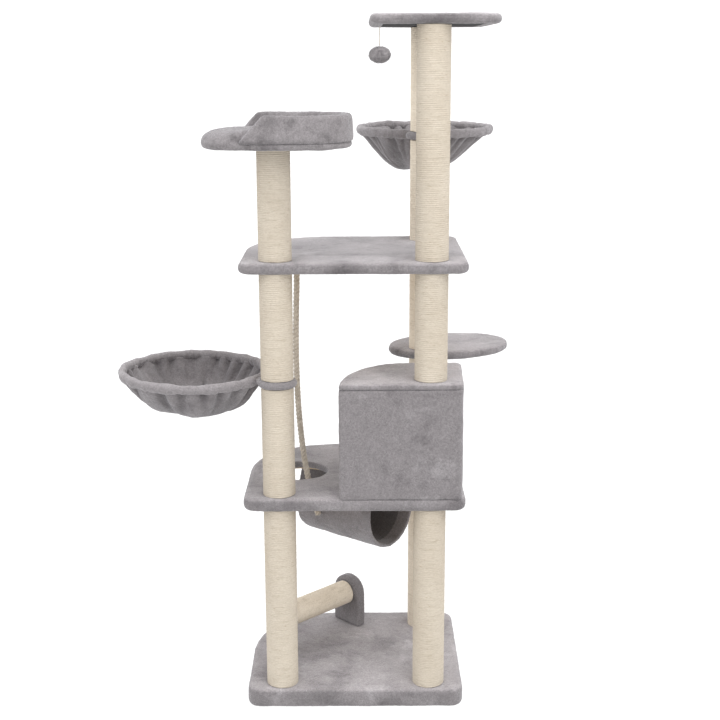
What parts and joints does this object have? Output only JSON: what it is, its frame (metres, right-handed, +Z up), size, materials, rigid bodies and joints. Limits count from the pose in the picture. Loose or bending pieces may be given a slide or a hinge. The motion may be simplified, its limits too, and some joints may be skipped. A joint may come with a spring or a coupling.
{
  "type": "cat tree",
  "caption": "Tall cat tree with sisal posts, plush platforms, a cave, a tunnel, swivelling hammocks, a rimmed lounge, a roller, a hanging rope and a pom-pom.",
  "frame": {"origin": "centre of the base's underside, on the floor", "axes": "+Z up; -Y is the front, the side with the two front posts; +X to the right seen from the front"},
  "size_m": [1.1062, 0.9903, 1.87],
  "materials": {
    "plush": "short pile plush, matt",
    "sisal": "wound sisal rope, matt",
    "cardboard": "spiral-wound cardboard tube with wooden plugs, raw",
    "board": "raw particle board",
    "liner": "thin non-woven, matt",
    "steel": "zinc-plated wire, satin",
    "rope": "twisted natural fibre, matt",
    "string": "braided elastic string, matt"
  },
  "bodies": {
    "frame": {"base_board": "board", "base_cover": "plush", "box_top_board": "board", "box_top_cover": "plush", "box_walls": "plush", "lounge_bolster": "plush", "lounge_plate": "plush", "lounge_seat": "plush", "lower_platform_board": "board", "lower_platform_cover": "plush", "mid_platform_board": "board", "mid_platform_cover": "plush", "pompom_staple": "steel", "post_left_1_core": "cardboard", "post_left_1_sisal": "sisal", "post_left_2_core": "cardboard", "post_left_2_sisal": "sisal", "post_left_3_core": "cardboard", "post_left_3_sisal": "sisal", "post_left_4_core": "cardboard", "post_left_4_sisal": "sisal", "post_rear_1_core": "cardboard", "post_rear_1_sisal": "sisal", "post_rear_2_core": "cardboard", "post_rear_2_sisal": "sisal", "post_rear_3_core": "cardboard", "post_rear_3_sisal": "sisal", "post_rear_4_core": "cardboard", "post_rear_4_sisal": "sisal", "post_rear_5_core": "cardboard", "post_rear_5_sisal": "sisal", "post_right_1_core": "cardboard", "post_right_1_sisal": "sisal", "post_right_2_core": "cardboard", "post_right_2_sisal": "sisal", "post_right_3_core": "cardboard", "post_right_3_sisal": "sisal", "post_right_4_core": "cardboard", "post_right_4_sisal": "sisal", "roller_plate_left": "plush", "roller_plate_right": "plush", "rope_cup": "board", "round_step_board": "board", "round_step_cover": "plush", "top_platform_board": "board", "top_platform_cover": "plush", "top_platform_liner": "liner", "tunnel_shell": "plush"},
    "left_hammock": {"left_hammock_basket": "plush", "left_hammock_collar": "plush", "left_hammock_frame": "steel"},
    "upper_hammock": {"upper_hammock_basket": "plush", "upper_hammock_collar": "plush", "upper_hammock_frame": "steel"},
    "roller": {"roller_core": "cardboard", "roller_sisal": "sisal"},
    "rope": {"rope": "rope"},
    "pompom_string": {"pompom_string": "string"},
    "pompom": {"pompom": "plush"}
  },
  "joints": [
    {"name": "left_hammock_swivel", "type": "hinge", "parent": "frame", "child": "left_hammock", "pos_m": [-0.204, -0.206, 0.922], "axis": [0, 0, 1], "range_deg": [-10, 110]},
    {"name": "upper_hammock_swivel", "type": "hinge", "parent": "frame", "child": "upper_hammock", "pos_m": [0.204, 0.176, 1.5465], "axis": [0, 0, 1], "range_deg": [-110, 85]},
    {"name": "roller_spin", "type": "hinge", "parent": "frame", "child": "roller", "pos_m": [-0.117, 0.092, 0.158], "axis": [0.7071, 0.7071, 0], "continuous": true},
    {"name": "rope_swing", "type": "hinge", "parent": "frame", "child": "rope", "pos_m": [-0.157, -0.03, 1.2155], "axis": [0, -1, 0], "range_deg": [-6, 0]},
    {"name": "string_swing", "type": "hinge", "parent": "frame", "child": "pompom_string", "pos_m": [0.068, -0.22, 1.8368], "axis": [1, 0, 0], "range_deg": [-25, 25]},
    {"name": "pompom_swing", "type": "hinge", "parent": "pompom_string", "child": "pompom", "pos_m": [0.068, -0.22, 1.7915], "axis": [0, 1, 0], "range_deg": [-20, 20]}
  ]
}
